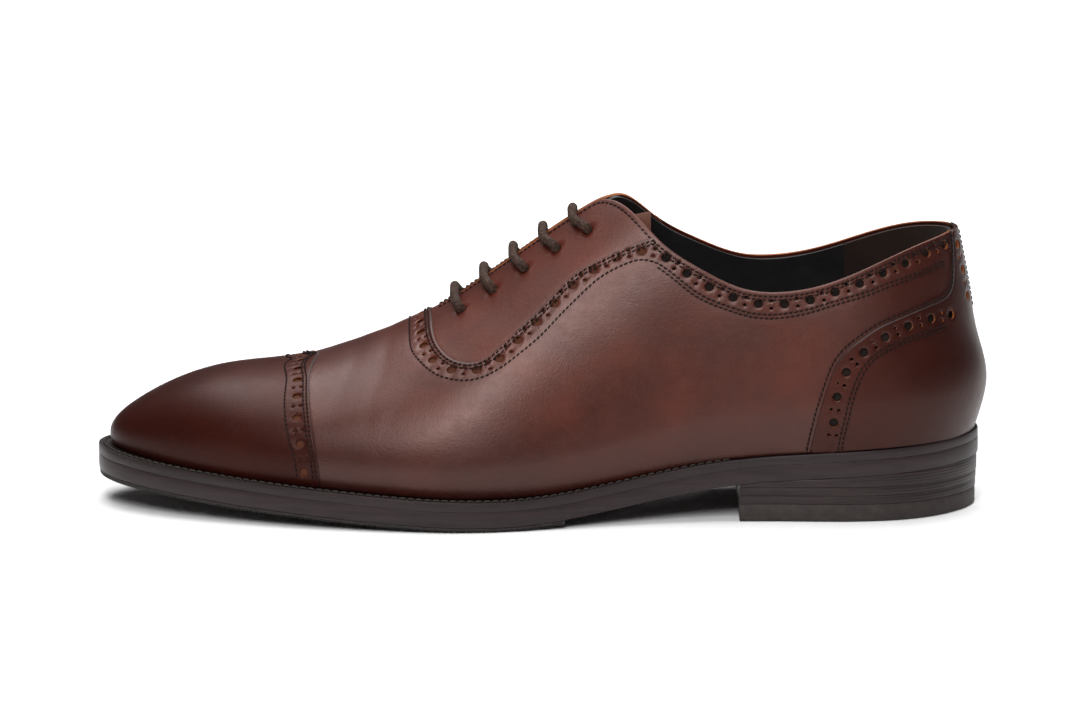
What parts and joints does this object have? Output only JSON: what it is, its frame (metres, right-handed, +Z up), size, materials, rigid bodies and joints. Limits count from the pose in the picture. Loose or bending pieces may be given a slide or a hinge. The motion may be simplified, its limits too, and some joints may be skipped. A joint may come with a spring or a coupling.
{
  "type": "oxford shoe",
  "caption": "Left leather oxford dress shoe with closed lacing, perforated seams, toe cap, heel counter and a welted sole with stacked heel.",
  "frame": {"origin": "on the ground under the middle of the shoe's length and width", "axes": "+X from toe to heel, +Y to the medial side, +Z up"},
  "size_m": [0.308, 0.1019, 0.1088],
  "materials": {
    "upper_leather": "polished burgundy-brown calf, burnished at toe and heel",
    "facing_leather": "polished brown calf",
    "hidden_ply": "plain cotton interlining",
    "stiffener_board": "pressed leather board, raw",
    "lining_leather": "smooth black lining leather",
    "grip_suede": "dark brown suede",
    "tongue_suede": "brown suede",
    "eyelet_metal": "brushed brass",
    "lace_cord": "waxed round cotton lace, dark brown",
    "aglet_metal": "lacquered",
    "insole_leather": "vegetable-tanned leather, raw",
    "cork": "pressed cork",
    "shank_steel": "plain steel",
    "sole_leather": "espresso-dyed leather edge, waxed",
    "sole_rubber": "dark brown rubber, matt",
    "nail_metal": "plain"
  },
  "bodies": {
    "shoe": {"toe_cap": "upper_leather", "vamp_quarters": "upper_leather", "heel_counter_cover": "upper_leather", "facing_lateral": "facing_leather", "facing_medial": "facing_leather", "toe_puff": "stiffener_board", "vamp_interlining": "hidden_ply", "quarter_interlining_lateral": "hidden_ply", "quarter_interlining_medial": "hidden_ply", "heel_stiffener": "stiffener_board", "vamp_lining": "lining_leather", "quarter_lining_lateral": "lining_leather", "quarter_lining_medial": "lining_leather", "heel_grip": "grip_suede", "eyelets_lateral": "eyelet_metal", "eyelets_medial": "eyelet_metal", "lace": "lace_cord", "aglets": "aglet_metal", "insole": "insole_leather", "sock_liner": "lining_leather", "insole_rib": "insole_leather", "cork_filler": "cork", "shank": "shank_steel", "welt": "sole_leather", "heel_rand": "sole_leather", "outsole": "sole_leather", "tread": "sole_rubber", "heel_lift_upper": "sole_leather", "heel_lift_middle": "sole_leather", "heel_lift_lower": "sole_leather", "heel_top_piece": "sole_rubber", "heel_nails": "nail_metal", "top_piece_nails": "nail_metal"},
    "tongue": {"tongue": "tongue_suede", "tongue_lining": "lining_leather"}
  },
  "joints": [
    {"name": "tongue_fold", "type": "hinge", "parent": "shoe", "child": "tongue", "pos_m": [-0.0575, 0.0065, 0.0495], "axis": [0, 1, 0], "range_deg": [0, 8]}
  ]
}
